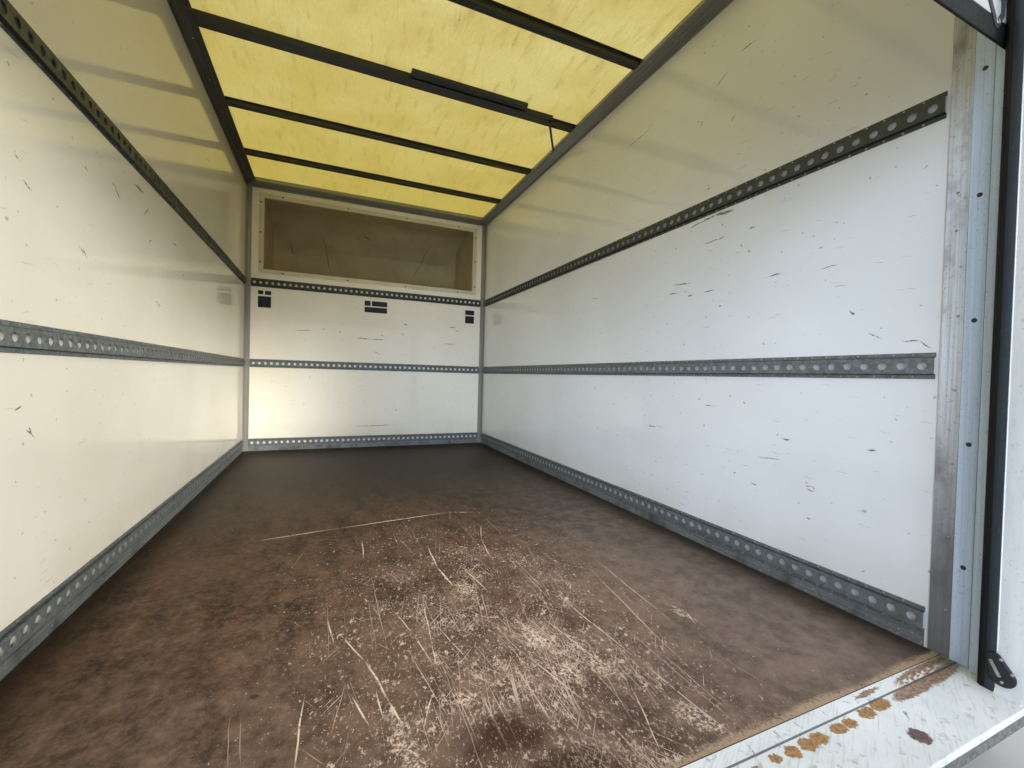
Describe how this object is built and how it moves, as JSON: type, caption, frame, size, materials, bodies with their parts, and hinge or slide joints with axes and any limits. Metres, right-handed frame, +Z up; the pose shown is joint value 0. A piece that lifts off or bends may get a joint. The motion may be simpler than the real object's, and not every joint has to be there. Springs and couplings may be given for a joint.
{
  "type": "truck box body",
  "caption": "Load box body of a box truck with over-cab pod, tie rails, plywood floor, translucent roof and a partly raised rear roller shutter.",
  "frame": {"origin": "under the middle of the body, on the plane of the runners' feet", "axes": "+Y towards the cab, +X to the right-hand wall seen from the rear, +Z up"},
  "size_m": [2.432, 5.21, 2.738],
  "materials": {
    "wall_panel": "white glass-fibre-faced plywood, gloss gelcoat",
    "floor_ply": "dark brown phenolic film, worn",
    "bearer_steel": "galvanised steel",
    "runner_steel": "black chassis enamel",
    "cleat_steel": "black chassis enamel",
    "rail_aluminium": "mill-finish extrusion",
    "corner_aluminium": "mill-finish extrusion",
    "roof_laminate": "translucent glass-fibre sheet",
    "bow_steel": "galvanised steel, weathered",
    "tie_rail_steel": "galvanised steel, perforated",
    "kick_aluminium": "scuffed aluminium strip",
    "pod_laminate": "white gelcoat outside, raw laminate inside",
    "trim_white": "white trim strip",
    "portal_paint": "white enamel on steel",
    "rave_steel": "galvanised steel",
    "guide_aluminium": "anodised extrusion",
    "cap_aluminium": "brushed aluminium",
    "seal_rubber": "black rubber",
    "cleat_plastic": "black moulded plastic",
    "slat_paint": "white coated aluminium slats",
    "drum_steel": "galvanised steel",
    "strap_webbing": "black webbing",
    "lamp_plastic": "black housing",
    "marker_lens": "amber lens",
    "rear_marker_lens": "red lens"
  },
  "bodies": {
    "root": {"floor_boards": "floor_ply", "cross_bearers": "bearer_steel", "rear_cross_member": "bearer_steel", "runners": "runner_steel", "runner_cleats": "cleat_steel", "side_panel_left": "wall_panel", "side_panel_right": "wall_panel", "front_panel": "wall_panel", "side_rave_left": "rail_aluminium", "side_rave_right": "rail_aluminium", "front_lower_rail": "rail_aluminium", "cant_rail_left": "rail_aluminium", "cant_rail_right": "rail_aluminium", "front_top_rail": "rail_aluminium", "front_corner_posts": "corner_aluminium", "roof_corner_castings": "corner_aluminium", "front_inner_angles": "corner_aluminium", "roof_sheet": "roof_laminate", "roof_bows": "bow_steel", "tie_rails_left": "tie_rail_steel", "tie_rails_right": "tie_rail_steel", "tie_rails_front": "tie_rail_steel", "kick_strips": "kick_aluminium", "pod_shell": "pod_laminate", "pod_frame": "trim_white", "rear_sill": "portal_paint", "rear_rave": "rave_steel", "rear_post_left": "portal_paint", "rear_post_right": "portal_paint", "rear_header": "portal_paint", "wall_end_caps": "cap_aluminium", "shutter_guides": "guide_aluminium", "side_seals": "seal_rubber", "post_cleats": "cleat_plastic", "shutter_curtain": "slat_paint", "shutter_bottom_bar": "slat_paint", "shutter_bottom_rubber": "seal_rubber", "shutter_coil": "slat_paint", "shutter_drum": "drum_steel", "shutter_brackets": "drum_steel", "pull_strap": "strap_webbing", "interior_lamp": "lamp_plastic", "lamp_conduit": "lamp_plastic", "side_markers": "marker_lens", "rear_markers": "rear_marker_lens"}
  },
  "joints": []
}
